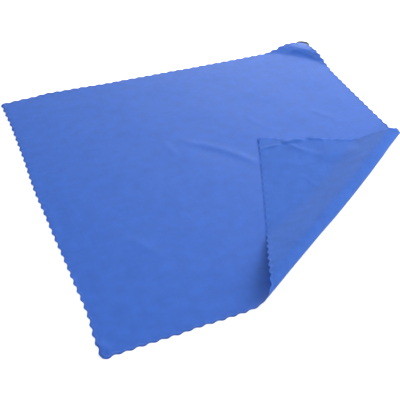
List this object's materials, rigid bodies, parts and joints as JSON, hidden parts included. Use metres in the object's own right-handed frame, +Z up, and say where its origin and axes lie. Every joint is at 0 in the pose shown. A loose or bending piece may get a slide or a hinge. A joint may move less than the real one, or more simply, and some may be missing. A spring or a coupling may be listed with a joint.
{
  "type": "travel towel",
  "caption": "Thin scallop-edged microfibre travel towel lying flat, one corner turned over in a loose roll, another slightly humped over a small cord hanging loop.",
  "frame": {"origin": "middle of the towel's bounding rectangle, on the surface that it lies on", "axes": "+Z up, through the cloth's thin direction; +X along the near edge, towards the turned over corner; +Y away from the near edge"},
  "size_m": [0.4088, 0.411, 0.0174],
  "materials": {
    "towel_cloth": "matte suede-like microfibre knit, royal blue",
    "loop_cord": "matte braided elastic cord, charcoal"
  },
  "bodies": {
    "root": {"towel": "towel_cloth", "hanging_loop": "loop_cord"}
  },
  "joints": []
}
